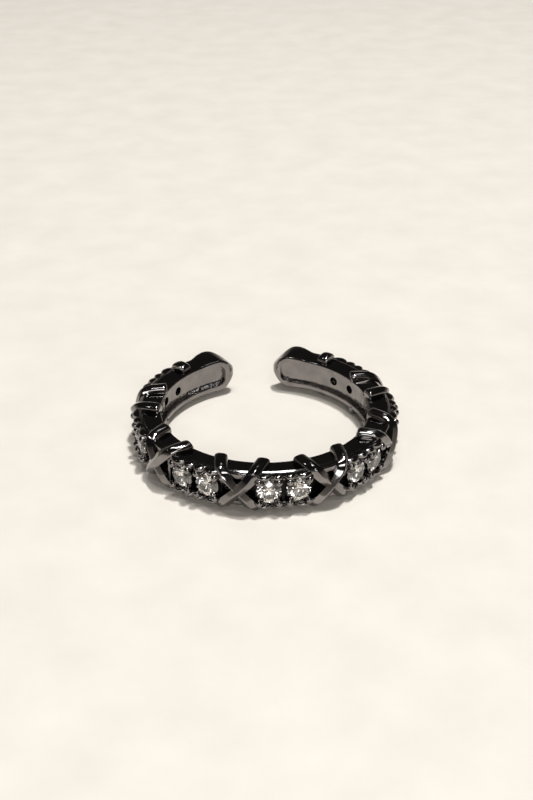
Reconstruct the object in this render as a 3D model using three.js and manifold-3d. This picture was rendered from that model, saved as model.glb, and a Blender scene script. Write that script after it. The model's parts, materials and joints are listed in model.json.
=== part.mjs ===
// Open stacking ring: a C-shaped cast band with seven pairs of round stones
// between criss-cross wraps, and a smooth bean-shaped terminal at each end.
// Millimetres, +Z up. The ring lies on its side: its finger axis is Z.
// Angles are degrees about that axis, measured from the middle of the gap (+Y) outward.

import * as THREE from 'three';
import { mergeVertices } from 'three/addons/utils/BufferGeometryUtils.js';
import { ConvexGeometry } from 'three/addons/geometries/ConvexGeometry.js';
import Module from 'manifold-3d';

const wasm = await Module();
wasm.setup();

// ---------- driving dimensions ----------
const INNER_R = 8.5;            // finger bore, 17.0 mm across
const SIDE_HALF = 1.42;         // half the band's width, face to face
const PLATE_R = 10.42;          // outer radius of the band, where the stones are set
const RECESS_R = 9.8;           // floor of the recess under each crossing
const RECESS_HALF = 1.02;       // half-width of that recess
const RECESS_SPREAD = 7.2;      // a recess reaches this far either side of its crossing, degrees
const FLANGE_R = 10.84;         // crest of the scalloped flanges
const FLANGE_VALLEY = 0.3;      // how much lower a flange is between two lobes
const FLANGE_Z = 1.24;          // crest's height above mid-width
const FLANGE_FOOT = [1.02, 1.4]; // inner and outer edge of its foot, above mid-width
const RAIL_R = 10.12;           // thin edge rail on each side face
const RAIL_WIDTH = 0.3;
const RAIL_RISE = 0.13;
const EDGE_FILLET = 0.16;       // rounding of the inner edges
const RIM_FILLET = 0.12;        // rounding of the outer edges
const ROOT_DEPTH = 0.2;         // how deep a flange or a prong is rooted in the band

const POCKET_R = 8.92;          // hollow along the inner wall
const POCKET_HALF = 0.8;
const POCKET_SLOPE = 0.2;       // width of its sloping sides

const TERMINAL_END = 38.0;      // where the terminal meets the set part of the band
const TIP_LEAN = 0.8;           // one tip reaches this much further than the other falls short
const COLLAR_AT = 41.1;         // plain wrap that closes the set part
const PAIR_ANGLES = [55.8, 97.3, 141.5, 180.5, 221.0, 263.0, 304.0]; // middles of the pairs
const STONE_SPREAD = 6.25;      // a stone's angle from the middle of its pair

const STONE_R = 0.98;           // girdle radius
const GIRDLE_R = 10.45;         // distance of the girdle from the ring's axis
const GIRDLE_HALF = 0.035;
const CROWN_RISE = 0.29;
const TABLE_RATIO = 0.56;
const PAVILION_DEPTH = 0.9;
const SEAT_GAP = 0.03;          // thin gap all round each stone
const SEAT_SIDES = 12;
const AZURE_R = 0.38;           // hole behind each stone, open to the bore

const PRONG_R = 0.3;
const PRONG_SIDES = 6;
const PRONG_OUT = 0.76;         // prong's offset from the stone's centre, both ways
const PRONG_HEIGHT = 0.34;
const PRONG_SHOULDER = 0.24;    // height of the dome's shoulder

const WRAP_SHOULDER = 0.3;      // depth from the ridge down to the wrap's edges
const COLLAR_WIDTH = 1.0;
const WRAP_DROP = 0.2;          // how much lower the wrap below lies at a crossing

// ---------- shape tables ----------
// Sections of a terminal and its neck, from the tip to the set part of the band:
// angle from the gap's middle, inner and outer radius, half-width, inner and outer rounding.
const TERMINAL_SECTIONS = [
  { at: 11.4, inner: 9.15, outer: 9.45, half: 0.25, innerRound: 0.12, outerRound: 0.12 },
  { at: 12.1, inner: 8.88, outer: 9.64, half: 0.52, innerRound: 0.26, outerRound: 0.34 },
  { at: 13.4, inner: 8.66, outer: 9.78, half: 0.78, innerRound: 0.32, outerRound: 0.52 },
  { at: 14.9, inner: 8.56, outer: 9.98, half: 1.02, innerRound: 0.28, outerRound: 0.68 },
  { at: 16.5, inner: 8.51, outer: 10.34, half: 1.24, innerRound: 0.22, outerRound: 0.78 },
  { at: 18.3, inner: 8.5, outer: 10.72, half: 1.4, innerRound: 0.18, outerRound: 0.74 },
  { at: 20.4, inner: 8.5, outer: 11.05, half: 1.5, innerRound: 0.16, outerRound: 0.62 },
  { at: 23.0, inner: 8.5, outer: 11.15, half: 1.5, innerRound: 0.16, outerRound: 0.47 },
  { at: 26.4, inner: 8.5, outer: 10.96, half: 1.48, innerRound: 0.16, outerRound: 0.39 },
  { at: 29.4, inner: 8.5, outer: 10.64, half: 1.46, innerRound: 0.16, outerRound: 0.32 },
  { at: 32.0, inner: 8.5, outer: 10.44, half: 1.42, innerRound: 0.16, outerRound: 0.26 },
  { at: 35.6, inner: 8.5, outer: 10.4, half: 1.42, innerRound: 0.16, outerRound: 0.24 },
];

// Half-width of the hollow along the inner wall, where it runs out in a terminal.
const POCKET_END = [
  { at: 16.9, half: 0.16 },
  { at: 17.4, half: 0.36 },
  { at: 18.6, half: 0.54 },
  { at: 20.4, half: 0.66 },
  { at: 22.6, half: POCKET_HALF },
];

// Where one lobe of a flange meets the next, in degrees from the middle of a pair of stones.
const LOBE_EDGES = [-11.9, -5.0, 0, 5.0, 11.9];

// One half of a wrap, from its lug at the bore to the crossing at mid-width: the ridge line,
// the root line buried in the band, and the swing away from the crossing, in degrees.
const WRAP_SECTIONS = [
  { crestR: 8.54, crestZ: 1.77, rootR: 8.56, rootZ: 1.2, swing: 11.2, width: 0.8 },
  { crestR: 8.76, crestZ: 1.97, rootR: 8.72, rootZ: 1.2, swing: 10.8, width: 1.0 },
  { crestR: 10.0, crestZ: 1.94, rootR: 9.7, rootZ: 1.2, swing: 8.2, width: 1.02 },
  { crestR: 10.72, crestZ: 1.62, rootR: 9.7, rootZ: 1.05, swing: 6.9, width: 1.0 },
  { crestR: 11.08, crestZ: 1.0, rootR: 9.7, rootZ: 0.8, swing: 4.6, width: 0.94 },
  { crestR: 11.18, crestZ: 0, rootR: 9.7, rootZ: 0, swing: 0, width: 0.84 },
];

// One half of the plain wrap beside a neck, from its rounded end on the side face.
const COLLAR_SECTIONS = [
  { crestR: 8.9, crestZ: 1.56, rootR: 8.94, rootZ: 1.2 },
  { crestR: 9.16, crestZ: 1.86, rootR: 9.1, rootZ: 1.2 },
  { crestR: 9.9, crestZ: 1.94, rootR: 9.6, rootZ: 1.2 },
  { crestR: 10.42, crestZ: 1.66, rootR: 9.7, rootZ: 1.05 },
  { crestR: 10.6, crestZ: 1.1, rootR: 9.7, rootZ: 0.8 },
  { crestR: 10.62, crestZ: 0, rootR: 9.7, rootZ: 0 },
];

// ---------- small helpers ----------
const radians = (degrees) => degrees * Math.PI / 180;

// A point of the ring: radius, angle from the gap's middle, height above mid-width.
function ringPoint(radius, at, z) {
  return new THREE.Vector3(0, radius, z).applyAxisAngle(new THREE.Vector3(0, 0, 1), radians(at));
}

function span(from, to, steps) {
  return Array.from({ length: steps + 1 }, (_, i) => from + (to - from) * i / steps);
}

function signedVolume(points, triangles) {
  let sum = 0;
  for (let i = 0; i < triangles.length; i += 3) {
    const [a, b, c] = [0, 1, 2].map((k) => points[triangles[i + k]]);
    sum += a.dot(new THREE.Vector3().crossVectors(b, c));
  }
  return sum / 6;
}

// A closed body through a row of sections, each a ring of the same number of points.
function loft(sections) {
  const count = sections[0].length;
  const points = sections.flat();
  const triangles = [];
  for (let s = 0; s < sections.length - 1; s += 1) {
    for (let i = 0; i < count; i += 1) {
      const a = s * count + i;
      const b = s * count + (i + 1) % count;
      triangles.push(a, b, b + count, a, b + count, a + count);
    }
  }
  const last = (sections.length - 1) * count;
  for (let i = 1; i < count - 1; i += 1) {
    triangles.push(0, i + 1, i, last, last + i, last + i + 1);
  }
  if (signedVolume(points, triangles) < 0) triangles.reverse();
  const geometry = new THREE.BufferGeometry().setFromPoints(points);
  geometry.setIndex(triangles);
  return geometry;
}

// A geometry as a solid that can be joined and cut.
function solidOf(geometry) {
  const bare = geometry.clone();
  bare.deleteAttribute('normal');
  bare.deleteAttribute('uv');
  const merged = mergeVertices(bare, 1e-5);
  const index = Array.from(merged.index.array);
  const triVerts = [];
  for (let i = 0; i < index.length; i += 3) {
    const [a, b, c] = index.slice(i, i + 3);
    if (a !== b && b !== c && c !== a) triVerts.push(a, b, c);
  }
  return new wasm.Manifold(new wasm.Mesh({
    numProp: 3,
    vertProperties: Float32Array.from(merged.attributes.position.array),
    triVerts: Uint32Array.from(triVerts),
  }));
}

function geometryOf(solid) {
  const mesh = solid.getMesh();
  const geometry = new THREE.BufferGeometry();
  geometry.setAttribute('position', new THREE.BufferAttribute(mesh.vertProperties, 3));
  geometry.setIndex(new THREE.BufferAttribute(mesh.triVerts, 1));
  geometry.computeVertexNormals();
  return geometry;
}

const joined = (solids) => solids.reduce((whole, next) => whole.add(next));

// ---------- the shank ----------
const CORNER_STEPS = 2;

// A rounded rectangle in the half-plane at one angle.
function shankSection({ at, inner, outer, half, innerRound, outerRound }) {
  const corners = [
    { r: outer - outerRound, z: half - outerRound, round: outerRound, from: 0 },
    { r: inner + innerRound, z: half - innerRound, round: innerRound, from: 90 },
    { r: inner + innerRound, z: innerRound - half, round: innerRound, from: 180 },
    { r: outer - outerRound, z: outerRound - half, round: outerRound, from: 270 },
  ];
  return corners.flatMap(({ r, z, round, from }) => span(from, from + 90, CORNER_STEPS).map((turn) => (
    ringPoint(r + round * Math.cos(radians(turn)), at, z + round * Math.sin(radians(turn)))
  )));
}

const SET_STEPS = 40;
const SET_ANGLES = span(TERMINAL_END + 1, 360 - TERMINAL_END - 1, SET_STEPS);

// A terminal's rows, each moved along the ring by its share of the lean of the tip.
function leaning(lean) {
  const last = TERMINAL_SECTIONS.at(-1).at;
  const first = TERMINAL_SECTIONS[0].at;
  return TERMINAL_SECTIONS.map((row) => ({ ...row, at: row.at + lean * (last - row.at) / (last - first) }));
}

function shank() {
  const near = leaning(-TIP_LEAN).map(shankSection);
  const set = SET_ANGLES.map((at) => shankSection({
    at, inner: INNER_R, outer: PLATE_R, half: SIDE_HALF, innerRound: EDGE_FILLET, outerRound: RIM_FILLET,
  }));
  const far = leaning(TIP_LEAN).reverse().map((row) => shankSection({ ...row, at: 360 - row.at }));
  return solidOf(loft([...near, ...set, ...far]));
}

// A strip that follows the band between two angles, with a four-sided section.
function strip(angles, corners) {
  return solidOf(loft(angles.map((at) => corners.map(([r, z]) => ringPoint(r, at, z)))));
}

// The recess in the outer face under a crossing.
function recess(at) {
  const beyond = PLATE_R + 1;
  return strip(span(at - RECESS_SPREAD, at + RECESS_SPREAD, 3), [
    [RECESS_R, -RECESS_HALF], [beyond, -RECESS_HALF], [beyond, RECESS_HALF], [RECESS_R, RECESS_HALF],
  ]);
}

// The hollow along the inner wall.
function pocket() {
  const inside = INNER_R - 0.4;
  const near = [...POCKET_END, ...[24.4, 28.2, 32.0, 36.0].map((at) => ({ at, half: POCKET_HALF }))];
  const set = SET_ANGLES.map((at) => ({ at, half: POCKET_HALF }));
  const far = near.map((row) => ({ ...row, at: 360 - row.at })).reverse();
  return solidOf(loft([...near, ...set, ...far].map(({ at, half }) => {
    const mouth = half + POCKET_SLOPE;
    return [
      [inside, -mouth], [INNER_R, -mouth], [POCKET_R, -half],
      [POCKET_R, half], [INNER_R, mouth], [inside, mouth],
    ].map(([r, z]) => ringPoint(r, at, z));
  })));
}

// The thin rail along the outer edge of a side face; side is 1 above, -1 below.
function rail(side) {
  const root = side * (SIDE_HALF - RAIL_RISE);
  return strip(SET_ANGLES.slice(1, -1), [
    [RAIL_R - RAIL_WIDTH / 2, root],
    [RAIL_R + RAIL_WIDTH / 2, root],
    [RAIL_R, side * (SIDE_HALF + RAIL_RISE)],
  ]);
}

// ---------- what surrounds the stones ----------
const STONE_ANGLES = PAIR_ANGLES.flatMap((at) => [at - STONE_SPREAD, at + STONE_SPREAD]);

// Moves a geometry built on the +Y axis to its angle round the ring.
const turned = (geometry, at) => geometry.rotateZ(radians(at));

// The scalloped flange beside a pair of stones; side is 1 above, -1 below.
function flange(at, side) {
  const root = PLATE_R - ROOT_DEPTH;
  const row = (angle, crest) => [[root, FLANGE_FOOT[0]], [crest, FLANGE_Z], [root, FLANGE_FOOT[1]]]
    .map(([r, z]) => ringPoint(r, at + angle, side * z));
  const valley = FLANGE_R - FLANGE_VALLEY;
  const sections = LOBE_EDGES.slice(1).flatMap((edge, i) => {
    const [from, length] = [LOBE_EDGES[i], edge - LOBE_EDGES[i]];
    return [row(from, valley), row(from + 0.3 * length, FLANGE_R), row(from + 0.7 * length, FLANGE_R)];
  });
  return solidOf(loft([...sections, row(LOBE_EDGES.at(-1), valley)]));
}

// A bead prong: a low dome raised beside the stone, which it holds by its edge.
function prong(at, aside, z) {
  const profile = [
    [0, -ROOT_DEPTH], [PRONG_R, -ROOT_DEPTH], [PRONG_R * 0.78, PRONG_SHOULDER], [0, PRONG_HEIGHT],
  ];
  const dome = new THREE.LatheGeometry(profile.map(([r, y]) => new THREE.Vector2(r, y)), PRONG_SIDES);
  return solidOf(turned(dome.translate(aside, PLATE_R, z), at));
}

function prongsOf(at) {
  return [1, -1].flatMap((side) => [1, -1].map((hand) => prong(at, hand * PRONG_OUT, side * PRONG_OUT)));
}

// ---------- the criss-cross wraps ----------
// One wrap, from lug to lug; hand is 1 or -1 for its slant, drop lowers it at the crossing.
function wrap(at, hand, drop) {
  const half = WRAP_SECTIONS.map((row, i) => {
    const near = Math.max(0, i - (WRAP_SECTIONS.length - 4)) / 3;
    return { ...row, crestR: row.crestR - drop * near };
  });
  const below = [...half].reverse().slice(1).map((row) => (
    { ...row, crestZ: -row.crestZ, rootZ: -row.rootZ, swing: -row.swing }
  ));
  const rows = [...half, ...below];
  const crests = rows.map((row) => ringPoint(row.crestR, at + hand * row.swing, row.crestZ));
  const roots = rows.map((row) => ringPoint(row.rootR, at + hand * row.swing, row.rootZ));
  const sections = rows.map((row, i) => {
    const along = crests[Math.min(i + 1, rows.length - 1)].clone().sub(crests[Math.max(i - 1, 0)]);
    const rise = crests[i].clone().sub(roots[i]).normalize();
    const across = new THREE.Vector3().crossVectors(along, rise).normalize();
    const point = (base, aside, up) => base.clone().addScaledVector(across, aside).addScaledVector(rise, up);
    const w = row.width / 2;
    return [
      point(roots[i], -w, 0), point(roots[i], w, 0), point(crests[i], w, -WRAP_SHOULDER),
      crests[i], point(crests[i], -w, -WRAP_SHOULDER),
    ];
  });
  return solidOf(loft(sections));
}

const CROSS_ANGLES = PAIR_ANGLES.slice(1).map((at, i) => (PAIR_ANGLES[i] + at) / 2);

// The plain wrap that closes the set part beside a neck runs straight round the band.
function collar(at) {
  const below = [...COLLAR_SECTIONS].reverse().slice(1).map((row) => (
    { ...row, crestZ: -row.crestZ, rootZ: -row.rootZ }
  ));
  const across = ringPoint(1, at + 90, 0);
  return solidOf(loft([...COLLAR_SECTIONS, ...below].map((row) => {
    const root = ringPoint(row.rootR, at, row.rootZ);
    const crest = ringPoint(row.crestR, at, row.crestZ);
    const shoulder = crest.clone().lerp(root, WRAP_SHOULDER / crest.distanceTo(root));
    const w = COLLAR_WIDTH / 2;
    const point = (base, aside) => base.clone().addScaledVector(across, aside);
    return [point(root, -w), point(root, w), point(shoulder, w), crest, point(shoulder, -w)];
  })));
}

// ---------- stones ----------
// A round brilliant with its axis along +Y and its girdle at the origin.
function brilliantPoints() {
  const points = [new THREE.Vector3(0, -PAVILION_DEPTH, 0)];
  const add = (radius, y, turn) => points.push(
    new THREE.Vector3(radius * Math.cos(radians(turn)), y, radius * Math.sin(radians(turn))),
  );
  const tableR = TABLE_RATIO * STONE_R;
  const starR = 0.8 * STONE_R;
  const lowerR = 0.25 * STONE_R;
  const toMain = Math.cos(radians(22.5));
  const starY = GIRDLE_HALF + (CROWN_RISE - GIRDLE_HALF) * (STONE_R - starR * toMain) / (STONE_R - tableR);
  const lowerY = -GIRDLE_HALF - (PAVILION_DEPTH - GIRDLE_HALF) * (1 - lowerR * toMain / STONE_R);
  for (let k = 0; k < 8; k += 1) {
    add(tableR, CROWN_RISE, 45 * k);
    add(starR, starY, 45 * k + 22.5);
    add(lowerR, lowerY, 45 * k + 22.5);
  }
  for (let k = 0; k < 16; k += 1) {
    add(STONE_R, GIRDLE_HALF, 22.5 * k);
    add(STONE_R, -GIRDLE_HALF, 22.5 * k);
  }
  return points;
}

const brilliant = new ConvexGeometry(brilliantPoints());

// The seat cut for one stone: a cone a little larger than the stone, open to the bore behind it.
function seat(at) {
  const wide = (STONE_R + SEAT_GAP) / Math.cos(radians(180 / SEAT_SIDES));
  const slope = PAVILION_DEPTH / STONE_R;
  const neck = -PAVILION_DEPTH - SEAT_GAP + AZURE_R * slope;
  const bore = INNER_R - GIRDLE_R - SEAT_GAP;
  const top = CROWN_RISE + SEAT_GAP;
  const profile = [
    [0, bore], [AZURE_R, bore], [AZURE_R, neck], [wide, -GIRDLE_HALF - SEAT_GAP],
    [wide, GIRDLE_HALF + SEAT_GAP], [wide * TABLE_RATIO, top], [0, top],
  ];
  const cutter = new THREE.LatheGeometry(profile.map(([r, y]) => new THREE.Vector2(r, y)), SEAT_SIDES);
  return solidOf(turned(cutter.translate(0, GIRDLE_R, 0), at));
}

// ---------- assembly ----------
function band() {
  const blank = shank().subtract(joined(CROSS_ANGLES.map(recess))).add(rail(1)).add(rail(-1));
  const added = joined([
    ...STONE_ANGLES.flatMap(prongsOf),
    ...PAIR_ANGLES.flatMap((at) => [flange(at, 1), flange(at, -1)]),
    ...CROSS_ANGLES.flatMap((at) => [wrap(at, 1, 0), wrap(at, -1, WRAP_DROP)]),
    collar(COLLAR_AT), collar(360 - COLLAR_AT),
  ]);
  const cuts = joined([pocket(), ...STONE_ANGLES.map(seat)]);
  return geometryOf(blank.add(added).subtract(cuts));
}

const blackPlate = new THREE.MeshStandardMaterial({ color: 0x2b2a2b, roughness: 0.18, metalness: 1 });
const clearStone = new THREE.MeshStandardMaterial({ color: 0xe9ebee, roughness: 0.03, metalness: 0 });

const group = new THREE.Group();
const bandMesh = new THREE.Mesh(band(), blackPlate);
bandMesh.name = 'band';
group.add(bandMesh);

STONE_ANGLES.forEach((at, i) => {
  const stone = new THREE.Mesh(brilliant, clearStone);
  stone.name = `stone_${String(i + 1).padStart(2, '0')}`;
  stone.position.copy(ringPoint(GIRDLE_R, at, 0));
  stone.rotation.z = radians(at);
  group.add(stone);
});

// The origin is the middle of the footprint, on the surface that the ring lies on.
const box = new THREE.Box3().setFromObject(group);
group.position.set(-(box.min.x + box.max.x) / 2, -(box.min.y + box.max.y) / 2, -box.min.z);

export default group;
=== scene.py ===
"""Open stacking ring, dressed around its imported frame: a cast and black-plated cuff,
set with seven pairs of round stones between criss-cross wraps.

The ring lies on its side on a pale floor. Shapes are worked out in millimetres round the
finger axis and then placed in the frame, in metres. Angles are degrees about that axis,
measured from the middle of the gap (+Y).
"""
import json
import math

import bmesh
import bpy
from mathutils import Matrix, Vector


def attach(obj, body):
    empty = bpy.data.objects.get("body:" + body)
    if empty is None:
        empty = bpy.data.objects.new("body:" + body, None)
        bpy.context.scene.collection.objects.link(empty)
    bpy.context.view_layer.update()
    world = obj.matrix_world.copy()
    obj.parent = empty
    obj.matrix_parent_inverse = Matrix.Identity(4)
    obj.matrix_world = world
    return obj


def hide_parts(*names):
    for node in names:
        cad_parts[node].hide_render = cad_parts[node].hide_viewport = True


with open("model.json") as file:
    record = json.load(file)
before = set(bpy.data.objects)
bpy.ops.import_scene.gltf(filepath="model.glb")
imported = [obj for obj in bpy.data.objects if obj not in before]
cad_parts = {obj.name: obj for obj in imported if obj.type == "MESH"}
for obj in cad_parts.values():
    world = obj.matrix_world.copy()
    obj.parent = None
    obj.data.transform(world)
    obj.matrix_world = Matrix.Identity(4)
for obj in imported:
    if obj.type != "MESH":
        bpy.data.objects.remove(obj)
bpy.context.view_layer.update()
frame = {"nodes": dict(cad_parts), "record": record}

# ---------- the frame's own places ----------
MM = 0.001
HOLE_LOW, HOLE_HIGH = (Vector(c) for c in frame["record"]["physics"]["openings"][0]["box_m"])
CENTRE = (HOLE_LOW + HOLE_HIGH) / 2      # on the finger axis, at mid-width
PLACE = Matrix.Translation(CENTRE) @ Matrix.Scale(MM, 4)
STONES = sorted(name for name in frame["nodes"] if name.startswith("stone_"))

# ---------- sizes of the casting, millimetres ----------
INNER_R = 8.5            # finger bore
SIDE_HALF = 1.42         # half the band's width, face to face
PLATE_R = 10.42          # outer face where the stones are set
EDGE_FILLET = 0.16       # inner edges
RIM_FILLET = 0.12        # outer edges
ROOT_DEPTH = 0.5         # how deep beads and flanges are rooted in the band
CUT_BEYOND = 1.0         # how far a cutter reaches past the outer face

RECESS_R = 9.8           # floor of the recess under each crossing
RECESS_HALF = 1.02
RECESS_SPREAD = 7.2      # degrees either side of the crossing

CHANNEL_R = 10.08        # floor of the channel that is cut between the stones of a pair
CHANNEL_HALF = 0.96
CHANNEL_FILLET = 0.12    # how much its floor rises towards its sides
CHANNEL_SPREAD = 13.6    # degrees either side of the middle of the pair

RAIL_R = 10.12           # thin rail on each side face
RAIL_RISE = 0.15
RAIL_ROUND = 0.12        # width of its rounded inner half
RAIL_ROUND_IN = 0.012    # how far within RAIL_R that half starts, and the outer one
RAIL_BEVEL_IN = 0.03
RAIL_BEVEL = 0.25        # width of its flat outer half, and how much that is crowned
RAIL_CROWN = 0.02
RAIL_ROOT = 0.125        # how deep it is rooted in the side face

HOLLOW_R = 8.92          # shallow hollow along the inner wall
HOLLOW_HALF = 0.8        # half its floor's width, and how far each side slopes
HOLLOW_SLOPE = 0.2
HOLLOW_START = 16.6      # where it runs out in a terminal, and where it is full
HOLLOW_FULL = 21.4
HOLLOW_TIP = 0.12        # half its width where it runs out
HOLLOW_BEYOND = 0.4      # how far its cutter reaches into the bore

# Casting grains left along the lower edge of the hollow, most of them in one terminal; tilt is
# in degrees off the way they all face.
GRAINS = [
    dict(at=17.8, size=0.13, tilt=0.0),
    dict(at=19.7, size=0.18, tilt=1.5),
    dict(at=21.8, size=0.17, tilt=-1.0),
    dict(at=23.7, size=0.18, tilt=1.0),
    dict(at=25.6, size=0.17, tilt=-1.5),
    dict(at=27.6, size=0.18, tilt=1.0),
    dict(at=29.5, size=0.16, tilt=0.0),
    dict(at=31.6, size=0.17, tilt=-1.0),
    dict(at=34.2, size=0.1, tilt=5.0),
    dict(at=35.5, size=0.14, tilt=-1.5),
    dict(at=37.4, size=0.09, tilt=1.0),
    dict(at=39.3, size=0.15, tilt=-4.0),
    dict(at=41.2, size=0.12, tilt=0.0),
    dict(at=339.4, size=0.12, tilt=0.0),
    dict(at=341.2, size=0.17, tilt=1.0),
]
GRAIN_R = 8.77           # distance of a grain's middle from the finger axis
GRAIN_Z = -0.76
GRAIN_ASIDE = 8.7        # the way their worn flat tops face, in degrees: aside from -Y, and up
GRAIN_UP = 44.0
GRAIN_PROFILE = [(0, -1), (1, -1), (1, -0.15), (0.8, 0.12), (0, 0.14)]   # in shares of its size

TERMINAL_END = 38.0      # where a terminal meets the set part of the band
TIP_LEAN = 0.8           # degrees: one tip reaches this much further, the other falls short
COLLAR_AT = 41.1
PAIR_ANGLES = [55.8, 97.3, 141.5, 180.5, 221.0, 263.0, 304.0]   # middles of the pairs, spaced as listed
CROSS_ANGLES = [(a + b) / 2 for a, b in zip(PAIR_ANGLES, PAIR_ANGLES[1:])]
STONE_SPREAD = 6.25      # a stone's angle from the middle of its pair

STONE_R = 0.98
GIRDLE_R = 10.45         # distance of a girdle from the finger axis
GIRDLE_HALF = 0.035
CROWN_RISE = 0.29
PAVILION_DEPTH = 0.9
SEAT_GAP = 0.03
SEAT_MOUTH = 0.62        # width of a seat's opening, as a share of its widest place
AZURE_R = 0.38           # hole behind each stone

BEAD_R = 0.29            # bead prongs, four round each stone
BEAD_ASIDE = 0.76
BEAD_Z = 0.92
BEAD_SHANK = 0.28        # height at which a bead's dome starts
BEAD_HEIGHT = 0.57

FLANGE_R = 10.84         # crest of the lobed flanges
FLANGE_FOOT = 10.34      # where a flange stands clear of the band
FLANGE_VALLEY = 0.36     # how much lower it is between two lobes
FLANGE_Z = 1.27          # middle of a flange, above mid-width
FLANGE_HALF = 0.24
FLANGE_WAIST = 0.75      # its width between two lobes, as a share of its full width
FLANGE_ROOT_HALF = 0.1
FLANGE_FULLNESS = 0.8    # under 1, a lobe is fuller than a half sine wave
LOBE_EDGES = [-11.9, -5.0, 0, 5.0, 11.9]     # degrees from the middle of the pair

WRAP_DROP = 0.2          # how much lower the wrap below lies at a crossing
COLLAR_WIDTH = 1.04

# Sections of a terminal and its neck, from the tip to the set part of the band.
TERMINAL_SECTIONS = [
    dict(at=11.4, inner=9.15, outer=9.45, half=0.25, inner_round=0.12, outer_round=0.12),
    dict(at=11.7, inner=9.0, outer=9.56, half=0.4, inner_round=0.2, outer_round=0.22),
    dict(at=12.4, inner=8.82, outer=9.68, half=0.58, inner_round=0.28, outer_round=0.4),
    dict(at=13.4, inner=8.66, outer=9.78, half=0.78, inner_round=0.32, outer_round=0.52),
    dict(at=14.9, inner=8.56, outer=9.98, half=1.02, inner_round=0.28, outer_round=0.68),
    dict(at=16.5, inner=8.51, outer=10.34, half=1.24, inner_round=0.22, outer_round=0.78),
    dict(at=18.3, inner=8.5, outer=10.72, half=1.4, inner_round=0.18, outer_round=0.74),
    dict(at=20.4, inner=8.5, outer=11.05, half=1.5, inner_round=0.16, outer_round=0.62),
    dict(at=23.0, inner=8.5, outer=11.15, half=1.5, inner_round=0.16, outer_round=0.47),
    dict(at=26.4, inner=8.5, outer=10.96, half=1.48, inner_round=0.16, outer_round=0.39),
    dict(at=29.4, inner=8.5, outer=10.64, half=1.46, inner_round=0.16, outer_round=0.32),
    dict(at=32.0, inner=8.5, outer=10.44, half=1.42, inner_round=0.16, outer_round=0.26),
    dict(at=35.6, inner=8.5, outer=10.4, half=1.42, inner_round=0.16, outer_round=0.24),
]

# One half of a wrap, from its lug at the bore to the crossing at mid-width: the ridge line,
# the root line buried in the band, the swing away from the crossing in degrees, and how
# round its back is, from 0, a ridge between two flat facets, to 1, a flat-topped dome.
WRAP_SECTIONS = [
    dict(crest_r=8.53, crest_z=1.7, root_r=8.56, root_z=1.2, swing=11.3, width=0.92, soft=1.0),
    dict(crest_r=8.66, crest_z=1.91, root_r=8.66, root_z=1.2, swing=11.0, width=1.04, soft=1.0),
    dict(crest_r=8.98, crest_z=1.97, root_r=8.9, root_z=1.2, swing=10.4, width=1.08, soft=0.9),
    dict(crest_r=10.0, crest_z=1.93, root_r=9.7, root_z=1.2, swing=8.2, width=1.04, soft=0.5),
    dict(crest_r=10.7, crest_z=1.6, root_r=9.7, root_z=1.05, swing=6.9, width=1.0, soft=0.15),
    dict(crest_r=11.08, crest_z=1.0, root_r=9.7, root_z=0.8, swing=4.6, width=0.94, soft=0.0),
    dict(crest_r=11.18, crest_z=0.0, root_r=9.7, root_z=0.0, swing=0.0, width=0.84, soft=0.0),
]

# One half of the plain wrap beside a neck, from its rounded end on the side face.
COLLAR_SECTIONS = [
    dict(crest_r=8.88, crest_z=1.5, root_r=8.94, root_z=1.2, soft=1.0),
    dict(crest_r=9.0, crest_z=1.76, root_r=9.0, root_z=1.2, soft=1.0),
    dict(crest_r=9.3, crest_z=1.92, root_r=9.2, root_z=1.2, soft=1.0),
    dict(crest_r=9.9, crest_z=1.96, root_r=9.6, root_z=1.2, soft=1.0),
    dict(crest_r=10.42, crest_z=1.7, root_r=9.7, root_z=1.05, soft=1.0),
    dict(crest_r=10.6, crest_z=1.1, root_r=9.7, root_z=0.8, soft=0.8),
    dict(crest_r=10.62, crest_z=0.0, root_r=9.7, root_z=0.0, soft=0.8),
]
WRAP_SHOULDER = 0.34     # depth of a wrap's edges below its ridge
RIDGE_WEAR = 0.08        # how far the ridge is worn round, in half-widths
DOME_POWER = 2.6         # over 2, a dome is flatter on top than a round one

SHARP_EDGE = 34          # degrees: edges sharper than this stay crisp

# ---------- how finely the curves are divided ----------
SET_STEPS = 280          # along the set part of the band
TERMINAL_STEPS = 5       # from one section of a terminal to the next
CORNER_STEPS = 6         # round a corner of the shank
RECESS_STEPS = 16        # along a recess, and along and across a channel
CHANNEL_STEPS = 24
CHANNEL_ACROSS = 12
RUNOUT_STEPS = 12        # where the hollow runs out, from there to the set part, and up its side
HOLLOW_STEPS = 18
HOLLOW_SIDE_STEPS = 4
RAIL_STEPS = 4           # across each half of a rail
LOBE_STEPS = 14          # along a lobe, and over it
LOBE_ACROSS = 10
DOME_STEPS = 6           # up a bead's dome, and round it
BEAD_SIDES = 16
SEAT_SIDES = 24
GRAIN_SIDES = 10
WRAP_STEPS = 5           # from one section of a wrap to the next
WRAP_SIDE = 8            # across each half of its back

# ---------- sizes of the finishes, millimetres ----------
PLATE_SWELL = 0.909      # slow swells left by polishing
SWELL_HEIGHT = 0.006
CAST_GRIT = 0.385        # casting grain, drawn coarse enough to show
GRIT_HEIGHT = 0.1
STONE_HAZE = 0.4         # polish marks on a stone, drawn coarse enough to show
FLOOR_CLOUD = 5.26       # clouds in the honed floor

# Where no wheel reaches, and where shade falls in the channels: the channels' floors are rougher there
# and are also painted darker as shade, and the hollow's sides are grainy. Each fade goes from nothing
# at its first size to full at its second:
# z is the height from mid-width, either way, and the others are distances from the finger axis.
WITHIN_WIDTH_Z = (SIDE_HALF - 0.1, CHANNEL_HALF)
BELOW_FACE_R = (PLATE_R + 0.12, CHANNEL_R + 0.1)
ABOVE_HOLLOW_R = (HOLLOW_R + 0.28, HOLLOW_R + 0.58)
BELOW_FLOOR_R = (HOLLOW_R + 0.02, HOLLOW_R - 0.04)
PAST_BORE_R = (INNER_R + 0.02, INNER_R + 0.08)

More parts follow.
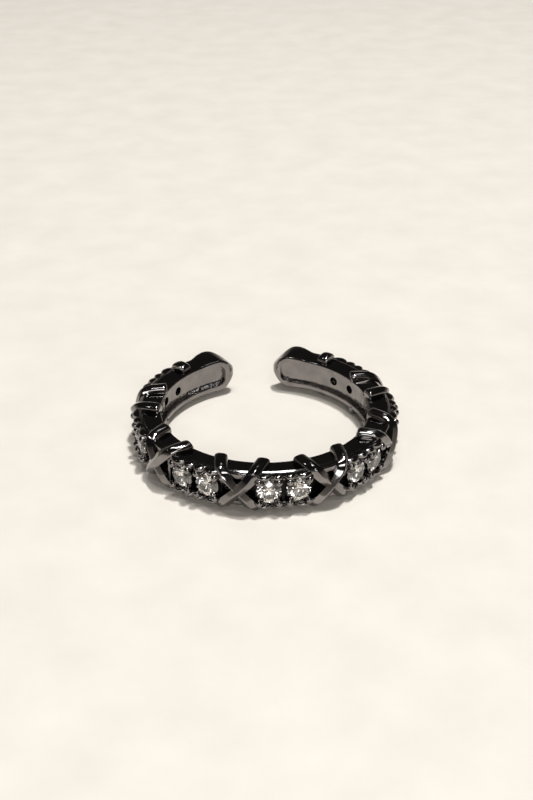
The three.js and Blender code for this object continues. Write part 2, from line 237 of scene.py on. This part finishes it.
# ---------- studio ----------
# Soft boxes aimed at the ring: degrees about it and above the floor, sides in metres, watts.
SOFTBOX_DISTANCE = 0.6
SOFTBOXES = [
    dict(name="overhead", azimuth=270, elevation=88, wide=0.24, high=0.04, power=0.86),
    dict(name="key", azimuth=32, elevation=81, wide=0.045, high=0.045, power=2.35),
    dict(name="back", azimuth=62, elevation=60, wide=0.1, high=0.1, power=0.06),
    dict(name="left", azimuth=175, elevation=60, wide=0.04, high=0.04, power=0.08),
    dict(name="front_right", azimuth=292, elevation=56, wide=0.11, high=0.09, power=0.22),
    dict(name="front", azimuth=266, elevation=27, wide=0.34, high=0.12, power=0.75),
]
FLOOR_HALF = 3.0         # metres

CAMERA_TURN = 7.5        # the camera stands this far clockwise of the gap's opposite side
CAMERA_TILT = 29.97      # degrees below the horizon
CAMERA_DISTANCE = 100.0  # millimetres, along the view
CAMERA_ASIDE = 0.131     # millimetres from that line, right and up
CAMERA_ABOVE = 2.902
CAMERA_LENS = 54.05


# ---------- small helpers ----------
def ring_point(radius, at, z):
    """A point of the ring: radius, angle from the gap's middle, height above mid-width."""
    turn = math.radians(at)
    return Vector((-radius * math.sin(turn), radius * math.cos(turn), z))


def span(start, end, steps):
    """Evenly spaced values from start to end, both among them."""
    return [start + (end - start) * i / steps for i in range(steps + 1)]


def smooth_rows(rows, steps):
    """Rows between the given ones, on a Catmull-Rom curve through every column."""
    fine = []
    for i in range(len(rows) - 1):
        before, here = rows[max(i - 1, 0)], rows[i]
        there, after = rows[i + 1], rows[min(i + 2, len(rows) - 1)]
        for step in range(steps):
            t = step / steps
            fine.append({
                key: 0.5 * (2 * here[key] + (there[key] - before[key]) * t
                            + (2 * before[key] - 5 * here[key] + 4 * there[key] - after[key]) * t ** 2
                            + (3 * here[key] - before[key] - 3 * there[key] + after[key]) * t ** 3)
                for key in here
            })
    return fine + [rows[-1]]


def loft(sections):
    """Vertices and faces of a closed body through sections with equal numbers of points."""
    count = len(sections[0])
    vertices = [point for section in sections for point in section]
    faces = [list(reversed(range(count)))]
    for s in range(len(sections) - 1):
        for i in range(count):
            a, b = s * count + i, s * count + (i + 1) % count
            faces.append([a, b, b + count, a + count])
    faces.append(list(range(len(vertices) - count, len(vertices))))
    return vertices, faces


def lathe(profile, sides):
    """A closed body turned about +Y from a profile of radius and height, pole to pole."""
    vertices = [Vector((0, profile[0][1], 0))]
    for radius, height in profile[1:-1]:
        for k in range(sides):
            turn = 2 * math.pi * k / sides
            vertices.append(Vector((radius * math.sin(turn), height, radius * math.cos(turn))))
    vertices.append(Vector((0, profile[-1][1], 0)))
    faces = []
    for k in range(sides):
        after = (k + 1) % sides
        faces.append([0, 1 + after, 1 + k])
        for ring in range(len(profile) - 3):
            low, high = 1 + ring * sides, 1 + (ring + 1) * sides
            faces.append([low + k, low + after, high + after, high + k])
        last = 1 + (len(profile) - 3) * sides
        faces.append([last + k, last + after, len(vertices) - 1])
    return vertices, faces


def turned(degrees, axis="Z"):
    """A turn about one axis, about the finger axis if none is given."""
    return Matrix.Rotation(math.radians(degrees), 4, axis)


def moved(body, matrix):
    vertices, faces = body
    return [matrix @ v for v in vertices], faces


def solid(name, bodies):
    """An object of closed bodies that don't touch, in millimetres, with faces outward."""
    mesh = bpy.data.meshes.new(name)
    vertices, faces = [], []
    for body_vertices, body_faces in bodies:
        start = len(vertices)
        vertices += body_vertices
        faces += [[start + i for i in face] for face in body_faces]
    mesh.from_pydata([tuple(v) for v in vertices], [], faces)
    point_outward(mesh)
    return bpy.data.objects.new(name, mesh)


def point_outward(mesh):
    bm = bmesh.new()
    bm.from_mesh(mesh)
    bmesh.ops.recalc_face_normals(bm, faces=bm.faces)
    bm.to_mesh(mesh)
    bm.free()


def add_node(tree, kind, inputs=None, **settings):
    """Adds one node. settings are its properties; inputs are values, or sockets to link."""
    node = tree.nodes.new(kind)
    for name, value in settings.items():
        setattr(node, name, value)
    for name, value in (inputs or {}).items():
        feeds = value if isinstance(value, list) else [value]
        for feed in feeds:
            if isinstance(feed, bpy.types.NodeSocket):
                tree.links.new(feed, node.inputs[name])
            else:
                node.inputs[name].default_value = feed
    return node


# ---------- the shank ----------
SET_ANGLES = span(TERMINAL_END + 1, 360 - TERMINAL_END - 1, SET_STEPS)


def shank_section(at, inner, outer, half, inner_round, outer_round):
    """A rounded rectangle: a cut across the band at one angle."""
    corners = [
        (outer - outer_round, half - outer_round, outer_round, 0),
        (inner + inner_round, half - inner_round, inner_round, 90),
        (inner + inner_round, inner_round - half, inner_round, 180),
        (outer - outer_round, outer_round - half, outer_round, 270),
    ]
    points = []
    for radius, z, fillet, start in corners:
        for turn in span(start, start + 90, CORNER_STEPS):
            a = math.radians(turn)
            points.append(ring_point(radius + fillet * math.cos(a), at, z + fillet * math.sin(a)))
    return points


def leaning(lean):
    """A terminal's sections, each moved along the ring by its share of the tip's lean."""
    first, last = TERMINAL_SECTIONS[0]["at"], TERMINAL_SECTIONS[-1]["at"]
    rows = [{**row, "at": row["at"] + lean * (last - row["at"]) / (last - first)}
            for row in TERMINAL_SECTIONS]
    return smooth_rows(rows, TERMINAL_STEPS)


def shank():
    """The plain band from tip to tip, before anything is cut or joined."""
    near = leaning(-TIP_LEAN)
    set_rows = [dict(at=at, inner=INNER_R, outer=PLATE_R, half=SIDE_HALF,
                     inner_round=EDGE_FILLET, outer_round=RIM_FILLET) for at in SET_ANGLES]
    far = [{**row, "at": 360 - row["at"]} for row in reversed(leaning(TIP_LEAN))]
    return solid("shank", [loft([shank_section(**row) for row in near + set_rows + far])])


def strip(angles, section):
    """A body that follows the band; section gives its points at each angle."""
    return loft([[ring_point(r, at, z) for r, z in section(at)] for at in angles])


def recess():
    """The recess in the outer face under a crossing, as a cutter."""
    beyond = PLATE_R + CUT_BEYOND
    corners = [(RECESS_R, -RECESS_HALF), (beyond, -RECESS_HALF),
               (beyond, RECESS_HALF), (RECESS_R, RECESS_HALF)]
    angles = span(-RECESS_SPREAD, RECESS_SPREAD, RECESS_STEPS)
    return solid("recess", [strip(angles, lambda at: corners)])


def channel():
    """The channel round the stones of a pair, as a cutter with a rounded floor."""
    beyond = PLATE_R + CUT_BEYOND
    floor_line = [(CHANNEL_R + CHANNEL_FILLET * (z / CHANNEL_HALF) ** 4, z)
                  for z in span(-CHANNEL_HALF, CHANNEL_HALF, CHANNEL_ACROSS)]
    corners = floor_line + [(beyond, CHANNEL_HALF), (beyond, -CHANNEL_HALF)]
    angles = span(-CHANNEL_SPREAD, CHANNEL_SPREAD, CHANNEL_STEPS)
    return solid("channel", [strip(angles, lambda at: corners)])


def hollow():
    """The shallow hollow along the inner wall, as a cutter: it runs out in each terminal."""
    def half_at(at):
        along = min(max((min(at, 360 - at) - HOLLOW_START) / (HOLLOW_FULL - HOLLOW_START), 0), 1)
        return HOLLOW_TIP + (HOLLOW_HALF - HOLLOW_TIP) * math.sqrt(1 - (1 - along) ** 2)

    def section(at):
        half = half_at(at)
        side = [(INNER_R + (HOLLOW_R - INNER_R) * t, half + HOLLOW_SLOPE * (1 - t))
                for t in span(0, 1, HOLLOW_SIDE_STEPS)]
        upper = [(INNER_R - HOLLOW_BEYOND, half + HOLLOW_SLOPE)] + side
        return upper + [(r, -z) for r, z in reversed(upper)]

    near = span(HOLLOW_START, HOLLOW_FULL, RUNOUT_STEPS)
    near += span(HOLLOW_FULL, SET_ANGLES[0], HOLLOW_STEPS)[1:-1]
    far = [360 - at for at in reversed(near)]
    return solid("hollow", [strip(near + SET_ANGLES + far, section)])


def grains():
    """The casting grains: low lumps of uneven size with flat worn tops, all facing one way."""
    bodies = []
    for row in GRAINS:
        at, size, tilt = row["at"], row["size"], row["tilt"]
        lump = [(radius * size, height * size) for radius, height in GRAIN_PROFILE]
        place = (turned(at) @ Matrix.Translation((0, GRAIN_R, GRAIN_Z))
                 @ turned(GRAIN_ASIDE - at + tilt) @ turned(180 - GRAIN_UP + tilt, "X"))
        bodies.append(moved(lathe(lump, GRAIN_SIDES), place))
    return solid("grains", bodies)


def rails():
    """The thin rail on each side face: its outer half is a nearly flat bevel."""
    def section(side):
        foot = SIDE_HALF - RAIL_ROOT
        inner = [(RAIL_R - RAIL_ROUND_IN + RAIL_ROUND * math.cos(math.pi * t),
                  SIDE_HALF + RAIL_RISE * math.sin(math.pi * t)) for t in span(0.5, 1, RAIL_STEPS)]
        bevel = [(RAIL_R - RAIL_BEVEL_IN + RAIL_BEVEL * t,
                  SIDE_HALF + RAIL_RISE * (1 - t) + RAIL_CROWN * t * (1 - t))
                 for t in span(0, 1, RAIL_STEPS)]
        loop = [(bevel[-1][0], foot)] + bevel[::-1] + inner[1:] + [(inner[-1][0], foot)]
        return [(r, side * z) for r, z in loop]
    return solid("rails", [strip(SET_ANGLES[1:-1], lambda at, s=side: section(s)) for side in (1, -1)])


# ---------- what surrounds a pair of stones ----------
def beads():
    """The eight bead prongs of a pair: low polished domes, each over a stone's edge."""
    dome = [(0, -ROOT_DEPTH), (BEAD_R, -ROOT_DEPTH)]
    for t in span(0, math.pi / 2, DOME_STEPS):
        dome.append((BEAD_R * math.cos(t), BEAD_SHANK + (BEAD_HEIGHT - BEAD_SHANK) * math.sin(t)))
    dome[-1] = (0, BEAD_HEIGHT)
    bodies = []
    for spread in (-STONE_SPREAD, STONE_SPREAD):
        for aside in (-BEAD_ASIDE, BEAD_ASIDE):
            for z in (-BEAD_Z, BEAD_Z):
                place = turned(spread) @ Matrix.Translation((aside, PLATE_R, z))
                bodies.append(moved(lathe(dome, BEAD_SIDES), place))
    return solid("beads", bodies)


def flanges():
    """The lobed flange on each side of a pair: four long beads run together."""
    def swell(at):
        for start, end in zip(LOBE_EDGES, LOBE_EDGES[1:]):
            if start < at < end:
                return math.sin(math.pi * (at - start) / (end - start)) ** FLANGE_FULLNESS
        return 0.0

    def section(at, side):
        full = swell(at)
        rise = FLANGE_R - FLANGE_FOOT - FLANGE_VALLEY * (1 - full)
        half = FLANGE_HALF * (FLANGE_WAIST + (1 - FLANGE_WAIST) * full)
        arc = [(FLANGE_FOOT + rise * math.sin(math.pi * t) ** FLANGE_FULLNESS,
                FLANGE_Z + half * math.cos(math.pi * t)) for t in span(0, 1, LOBE_ACROSS)]
        root = PLATE_R - ROOT_DEPTH
        loop = [(root, FLANGE_Z + FLANGE_ROOT_HALF)] + arc + [(root, FLANGE_Z - FLANGE_ROOT_HALF)]
        return [(r, side * z) for r, z in loop]

    angles = []
    for start, end in zip(LOBE_EDGES, LOBE_EDGES[1:]):
        angles += span(start, end, LOBE_STEPS)[:-1]
    angles.append(LOBE_EDGES[-1])
    return solid("flanges", [strip(angles, lambda at, s=side: section(at, s)) for side in (1, -1)])


def seats():
    """The seats of a pair of stones, as cutters: cones open to the bore through azure holes."""
    wide = (STONE_R + SEAT_GAP) / math.cos(math.pi / SEAT_SIDES)
    neck = -PAVILION_DEPTH - SEAT_GAP + AZURE_R * PAVILION_DEPTH / STONE_R
    bore = INNER_R - GIRDLE_R - SEAT_GAP
    top = CROWN_RISE + SEAT_GAP
    profile = [(0, bore), (AZURE_R, bore), (AZURE_R, neck), (wide, -GIRDLE_HALF - SEAT_GAP),
               (wide, GIRDLE_HALF + SEAT_GAP), (wide * SEAT_MOUTH, top), (0, top)]
    return solid("seats", [
        moved(lathe(profile, SEAT_SIDES), turned(spread) @ Matrix.Translation((0, GIRDLE_R, 0)))
        for spread in (-STONE_SPREAD, STONE_SPREAD)])


# ---------- the criss-cross wraps ----------
def wrap_back(soft):
    """A wrap's back: place across, in half-widths, and depth below the ridge."""
    points = []
    for t in span(-1, 1, 2 * WRAP_SIDE):
        ridge = WRAP_SHOULDER * (math.hypot(t, RIDGE_WEAR) - RIDGE_WEAR)
        dome = WRAP_SHOULDER * (1 - (1 - abs(t) ** DOME_POWER) ** (1 / DOME_POWER))
        points.append((t, ridge + (dome - ridge) * soft))
    return points


def mirrored_rows(half):
    """A half's rows, and then the same ones below mid-width."""
    turned_over = ("crest_z", "root_z", "swing")
    below = [{key: -value if key in turned_over else value for key, value in row.items()}
             for row in reversed(half[:-1])]
    return half + below


def wrap_body(crests, roots, acrosses, rows):
    """A wrap's closed body along its crest and root lines."""
    sections = []
    for crest, root, across, row in zip(crests, roots, acrosses, rows):
        rise = (crest - root).normalized()
        back = [crest + across * aside - rise * depth for aside, depth in wrap_back(row["soft"])]
        sections.append([root - across] + back + [root + across])
    return loft(sections)


def wrap(name, hand, drop):
    """One wrap from lug to lug; hand is 1 or -1 for its slant, drop lowers it at the crossing."""
    half = [dict(row) for row in smooth_rows(WRAP_SECTIONS, WRAP_STEPS)]
    dips = 3 * WRAP_STEPS   # it dips over its last three sections
    for i, row in enumerate(half[-dips:], start=1):
        near = i / dips
        row["crest_r"] -= drop * near ** 2 * (3 - 2 * near)
    rows = mirrored_rows(half)
    crests = [ring_point(row["crest_r"], hand * row["swing"], row["crest_z"]) for row in rows]
    roots = [ring_point(row["root_r"], hand * row["swing"], row["root_z"]) for row in rows]
    acrosses = []
    for i, row in enumerate(rows):
        along = crests[min(i + 1, len(rows) - 1)] - crests[max(i - 1, 0)]
        acrosses.append(along.cross(crests[i] - roots[i]).normalized() * (row["width"] / 2))
    return solid(name, [wrap_body(crests, roots, acrosses, rows)])


def collars():
    """The plain wrap that closes the set part beside each neck runs straight round the band."""
    rows = mirrored_rows(smooth_rows(COLLAR_SECTIONS, WRAP_STEPS))
    bodies = []
    for at in (COLLAR_AT, 360 - COLLAR_AT):
        crests = [ring_point(row["crest_r"], at, row["crest_z"]) for row in rows]
        roots = [ring_point(row["root_r"], at, row["root_z"]) for row in rows]
        across = ring_point(1, at + 90, 0) * (COLLAR_WIDTH / 2)
        bodies.append(wrap_body(crests, roots, [across] * len(rows), rows))
    return solid("collars", bodies)


# ---------- the casting, joined and cut by Geometry Nodes ----------
def places(name, angles):
    """Points on the finger axis, one for each angle, that carry the turn of a repeated part."""
    mesh = bpy.data.meshes.new(name)
    mesh.from_pydata([(0, 0, 0) for _ in angles], [], [])
    turns = mesh.attributes.new("turn", "FLOAT", "POINT")
    for item, at in zip(turns.data, angles):
        item.value = math.radians(at)
    return bpy.data.objects.new(name, mesh)


def casting_tree(parts, kinds):
    """A tree that repeats each part round the ring and joins or cuts it: parts maps a name to
    the step that uses it and to its places, one of kinds, or None for a part used once."""
    tree = bpy.data.node_groups.new("ring_casting", "GeometryNodeTree")
    face = tree.interface
    face.new_socket("Geometry", in_out="OUTPUT", socket_type="NodeSocketGeometry")
    face.new_socket("Shank", in_out="INPUT", socket_type="NodeSocketGeometry")
    face.new_socket("Metal", in_out="INPUT", socket_type="NodeSocketMaterial")
    for name in [*kinds, *parts]:
        face.new_socket(name, in_out="INPUT", socket_type="NodeSocketObject")
    given = add_node(tree, "NodeGroupInput").outputs
    angle = add_node(tree, "GeometryNodeInputNamedAttribute", {"Name": "turn"},
                     data_type="FLOAT").outputs[0]
    turn = add_node(tree, "ShaderNodeCombineXYZ", {"Z": angle}).outputs[0]

    def shape_of(name):
        return add_node(tree, "GeometryNodeObjectInfo", {"Object": given[name]}).outputs["Geometry"]

    def placed(name, kind):
        if kind is None:
            return shape_of(name)
        inputs = {"Points": shape_of(kind), "Instance": shape_of(name), "Rotation": turn}
        return add_node(tree, "GeometryNodeInstanceOnPoints", inputs).outputs[0]

    def combined(operation, body, others):
        joined = operation == "UNION"
        inputs = {"Mesh 2": [body] + others} if joined else {"Mesh 1": body, "Mesh 2": others}
        return add_node(tree, "GeometryNodeMeshBoolean", inputs, operation=operation,
                        solver="MANIFOLD").outputs[0]

    body = given["Shank"]
    for step in ("first cut", "first join", "last cut", "last join"):
        others = [placed(name, kind) for name, (use, kind) in parts.items() if use == step]
        body = combined("UNION" if step.endswith("join") else "DIFFERENCE", body, others)
    body = add_node(tree, "GeometryNodeRealizeInstances", {"Geometry": body}).outputs[0]
    body = add_node(tree, "GeometryNodeSetMaterial",
                    {"Geometry": body, "Material": given["Metal"]}).outputs[0]
    add_node(tree, "NodeGroupOutput", {"Geometry": body})
    return tree


def cast_band(metal):
    """The whole casting as one piece in the frame, cut and joined from its parts."""
    kinds = {"Pair places": places("pair_places", PAIR_ANGLES),
             "Crossing places": places("crossing_places", CROSS_ANGLES)}
    pair, crossing = kinds
    parts = {
        "Recess": ("first cut", crossing, recess()),
        "Channel": ("first cut", pair, channel()),
        "Rails": ("first join", None, rails()),
        "Beads": ("first join", pair, beads()),
        "Flanges": ("first join", pair, flanges()),
        "Upper wrap": ("first join", crossing, wrap("upper_wrap", 1, 0)),
        "Lower wrap": ("first join", crossing, wrap("lower_wrap", -1, WRAP_DROP)),
        "Collars": ("first join", None, collars()),
        "Seats": ("last cut", pair, seats()),
        "Hollow": ("last cut", None, hollow()),
        "Grains": ("last join", None, grains()),
    }
    tree = casting_tree({name: (use, kind) for name, (use, kind, _) in parts.items()}, kinds)
    blank = shank()
    bpy.context.scene.collection.objects.link(blank)
    modifier = blank.modifiers.new("casting", "NODES")
    modifier.node_group = tree
    values = {**kinds, **{name: body for name, (_, _, body) in parts.items()}}
    for item in tree.interface.items_tree:
        if item.in_out == "INPUT" and item.name in values:
            modifier[item.identifier] = values[item.name]
        elif item.name == "Metal":
            modifier[item.identifier] = metal
    evaluated = blank.evaluated_get(bpy.context.evaluated_depsgraph_get())
    mesh = bpy.data.meshes.new_from_object(evaluated)
    mesh.transform(PLACE)
    bpy.data.objects.remove(blank)
    for body in values.values():
        bpy.data.objects.remove(body)
    mesh.shade_smooth()
    mesh.set_sharp_from_angle(angle=math.radians(SHARP_EDGE))
    piece = bpy.data.objects.new("band_casting", mesh)
    bpy.context.scene.collection.objects.link(piece)
    return piece


# ---------- materials ----------
def linear(hex_colour):
    """A linear RGBA colour from an sRGB hex value."""
    channels = [int(hex_colour[i:i + 2], 16) / 255 for i in (1, 3, 5)]
    light = [c / 12.92 if c <= 0.04045 else ((c + 0.055) / 1.055) ** 2.4 for c in channels]
    return (*light, 1.0)


def scale_for(millimetres):
    """A noise scale whose features are this wide."""
    return 1 / (millimetres * MM)


def new_material(name):
    """An empty material with a shader that feeds its output."""
    material = bpy.data.materials.new(name)
    material.use_nodes = True
    tree = material.node_tree
    tree.nodes.clear()
    shader = add_node(tree, "ShaderNodeBsdfPrincipled")
    add_node(tree, "ShaderNodeOutputMaterial", {"Surface": shader.outputs[0]})
    return material, tree, shader


def black_ruthenium():
    """Cast brass, tumbled, polished and plated with black ruthenium: a dark mirror outside,
    duller on the floors of the channels, which are also painted blacker there as shade, and grainy on
    the sides of the hollow."""
    material, tree, shader = new_material("black_ruthenium_plate")
    where = add_node(tree, "ShaderNodeTexCoord").outputs["Object"]
    offset = add_node(tree, "ShaderNodeVectorMath", {0: where, 1: tuple(CENTRE)},
                      operation="SUBTRACT").outputs[0]
    flat = add_node(tree, "ShaderNodeVectorMath", {0: offset, 1: (1, 1, 0)},
                    operation="MULTIPLY").outputs[0]
    radius = add_node(tree, "ShaderNodeVectorMath", {0: flat}, operation="LENGTH").outputs["Value"]
    rise = add_node(tree, "ShaderNodeSeparateXYZ", {0: offset}).outputs["Z"]
    height = add_node(tree, "ShaderNodeMath", {0: rise}, operation="ABSOLUTE").outputs[0]

    def fade(value, sizes):
        none, full = sizes
        return add_node(tree, "ShaderNodeMapRange",
                        {"Value": value, "From Min": none * MM, "From Max": full * MM},
                        interpolation_type="SMOOTHSTEP").outputs[0]

    def both(first, second):
        return add_node(tree, "ShaderNodeMath", {0: first, 1: second}, operation="MULTIPLY").outputs[0]

    # The channels' floors lie between the outer face and the hollow, and the hollow's sloping
    # sides lie between its floor and the bore.
    inside = fade(height, WITHIN_WIDTH_Z)
    shaded_dull_floor = both(both(fade(radius, BELOW_FACE_R), fade(radius, ABOVE_HOLLOW_R)), inside)
    hollow_side = both(both(fade(radius, BELOW_FLOOR_R), fade(radius, PAST_BORE_R)), inside)

    swell = add_node(tree, "ShaderNodeTexNoise",
                     {"Vector": where, "Scale": scale_for(PLATE_SWELL), "Detail": 2.0}).outputs["Fac"]
    grit = add_node(tree, "ShaderNodeTexNoise",
                    {"Vector": where, "Scale": scale_for(CAST_GRIT), "Detail": 3.0}).outputs["Fac"]
    tone = add_node(tree, "ShaderNodeMapRange",
                    {"Value": swell, "From Min": 0.3, "From Max": 0.7}).outputs[0]
    polished = add_node(tree, "ShaderNodeMix", {0: tone, 6: linear("#7c7979"), 7: linear("#8c8886")},
                        data_type="RGBA").outputs[2]
    # Painted shade: the channels' floors are coloured near black, as the shade that falls between the
    # stones.
    colour = add_node(tree, "ShaderNodeMix", {0: shaded_dull_floor, 6: polished, 7: linear("#2b2929")},
                      data_type="RGBA").outputs[2]
    rough = add_node(tree, "ShaderNodeMapRange",
                     {"Value": shaded_dull_floor, "To Min": 0.09, "To Max": 0.45}).outputs[0]
    fine = add_node(tree, "ShaderNodeBump",
                    {"Height": swell, "Distance": SWELL_HEIGHT * MM, "Strength": 1.0}).outputs[0]
    bump = add_node(tree, "ShaderNodeBump",
                    {"Height": both(hollow_side, grit), "Distance": GRIT_HEIGHT * MM,
                     "Strength": 1.0, "Normal": fine}).outputs[0]
    shader.inputs["Metallic"].default_value = 1.0
    tree.links.new(colour, shader.inputs["Base Color"])
    tree.links.new(rough, shader.inputs["Roughness"])
    tree.links.new(bump, shader.inputs["Normal"])
    return material


def cubic_zirconia():
    """Clear cubic zirconia, cut and polished by machine: flat bright facets without a tint."""
    material, tree, shader = new_material("cut_cubic_zirconia")
    where = add_node(tree, "ShaderNodeTexCoord").outputs["Object"]
    haze = add_node(tree, "ShaderNodeTexNoise",
                    {"Vector": where, "Scale": scale_for(STONE_HAZE)}).outputs["Fac"]
    rough = add_node(tree, "ShaderNodeMapRange",
                     {"Value": haze, "To Min": 0.0, "To Max": 0.04}).outputs[0]
    shader.inputs["Base Color"].default_value = linear("#fbf8f4")
    shader.inputs["IOR"].default_value = 2.15
    shader.inputs["Transmission Weight"].default_value = 1.0
    tree.links.new(rough, shader.inputs["Roughness"])
    return material


def pale_floor():
    """Warm white stone, honed: matt, with faint clouds."""
    material, tree, shader = new_material("honed_pale_floor")
    where = add_node(tree, "ShaderNodeTexCoord").outputs["Object"]
    cloud = add_node(tree, "ShaderNodeTexNoise",
                     {"Vector": where, "Scale": scale_for(FLOOR_CLOUD), "Detail": 5.0}).outputs["Fac"]
    colour = add_node(tree, "ShaderNodeMix", {0: cloud, 6: linear("#e9e1d5"), 7: linear("#faf4ea")},
                      data_type="RGBA").outputs[2]
    tree.links.new(colour, shader.inputs["Base Color"])
    shader.inputs["Roughness"].default_value = 0.6
    return material


# ---------- dressing ----------
def dress():
    """The casting takes the place of the plain band, and the frame's stones get their material."""
    band = cast_band(black_ruthenium())
    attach(band, "root")
    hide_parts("band")
    clear = cubic_zirconia()
    for name in STONES:
        stone = frame["nodes"][name]
        stone.data.materials.clear()
        stone.data.materials.append(clear)


# ---------- floor, light and camera ----------
def floor():
    """A wide flat floor under the ring, kept apart from it as staging."""
    mesh = bpy.data.meshes.new("floor")
    corners = [(FLOOR_HALF * x, FLOOR_HALF * y, 0) for x, y in ((-1, -1), (1, -1), (1, 1), (-1, 1))]
    mesh.from_pydata(corners, [], [(0, 1, 2, 3)])
    mesh.materials.append(pale_floor())
    plane = bpy.data.objects.new("floor", mesh)
    bpy.context.scene.collection.objects.link(plane)


def softbox(name, azimuth, elevation, wide, high, power):
    """A white area light that looks at the ring from an angle about it; its long side is level."""
    light = bpy.data.lights.new(name, "AREA")
    light.shape = "RECTANGLE"
    light.size = wide
    light.size_y = high
    light.energy = power
    a, e = math.radians(azimuth), math.radians(elevation)
    away = Vector((math.cos(a) * math.cos(e), math.sin(a) * math.cos(e), math.sin(e)))
    lamp = bpy.data.objects.new(name, light)
    lamp.location = CENTRE + away * SOFTBOX_DISTANCE
    lamp.rotation_euler = away.to_track_quat("Z", "Y").to_euler()
    bpy.context.scene.collection.objects.link(lamp)


def studio():
    """A dim room, paler near the horizon all round, with a strip overhead that lines the rails
    and wraps, a small key that casts crisp shadows, and a wide low card before the stones."""
    world = bpy.data.worlds.new("studio")
    world.use_nodes = True
    tree = world.node_tree
    tree.nodes.clear()
    looking = add_node(tree, "ShaderNodeTexCoord").outputs["Generated"]
    height = add_node(tree, "ShaderNodeSeparateXYZ", {0: looking}).outputs["Z"]
    share = add_node(tree, "ShaderNodeMapRange",
                     {"Value": height, "From Min": 0.02, "From Max": 0.4}).outputs[0]
    colour = add_node(tree, "ShaderNodeMix", {0: share, 6: linear("#a8a198"), 7: linear("#2c2a29")},
                      data_type="RGBA").outputs[2]
    back = add_node(tree, "ShaderNodeBackground", {"Color": colour})
    add_node(tree, "ShaderNodeOutputWorld", {"Surface": back.outputs[0]})
    bpy.context.scene.world = world
    for box in SOFTBOXES:
        softbox(**box)
    bpy.context.scene.view_settings.view_transform = "Standard"


def camera():
    """It looks down into the ring from the side opposite the gap."""
    data = bpy.data.cameras.new("camera")
    data.lens = CAMERA_LENS
    data.clip_start = 0.005
    data.clip_end = 20
    a, e = math.radians(CAMERA_TURN), math.radians(CAMERA_TILT)
    forward = Vector((math.sin(a) * math.cos(e), math.cos(a) * math.cos(e), -math.sin(e)))
    right = Vector((math.cos(a), -math.sin(a), 0))
    up = right.cross(forward)
    foot = CENTRE - Vector((0, 0, SIDE_HALF * MM))
    eye = bpy.data.objects.new("camera", data)
    eye.location = foot + (right * CAMERA_ASIDE + up * CAMERA_ABOVE - forward * CAMERA_DISTANCE) * MM
    eye.rotation_euler = forward.to_track_quat("-Z", "Y").to_euler()
    bpy.context.scene.collection.objects.link(eye)
    bpy.context.scene.camera = eye


dress()
floor()
studio()
camera()
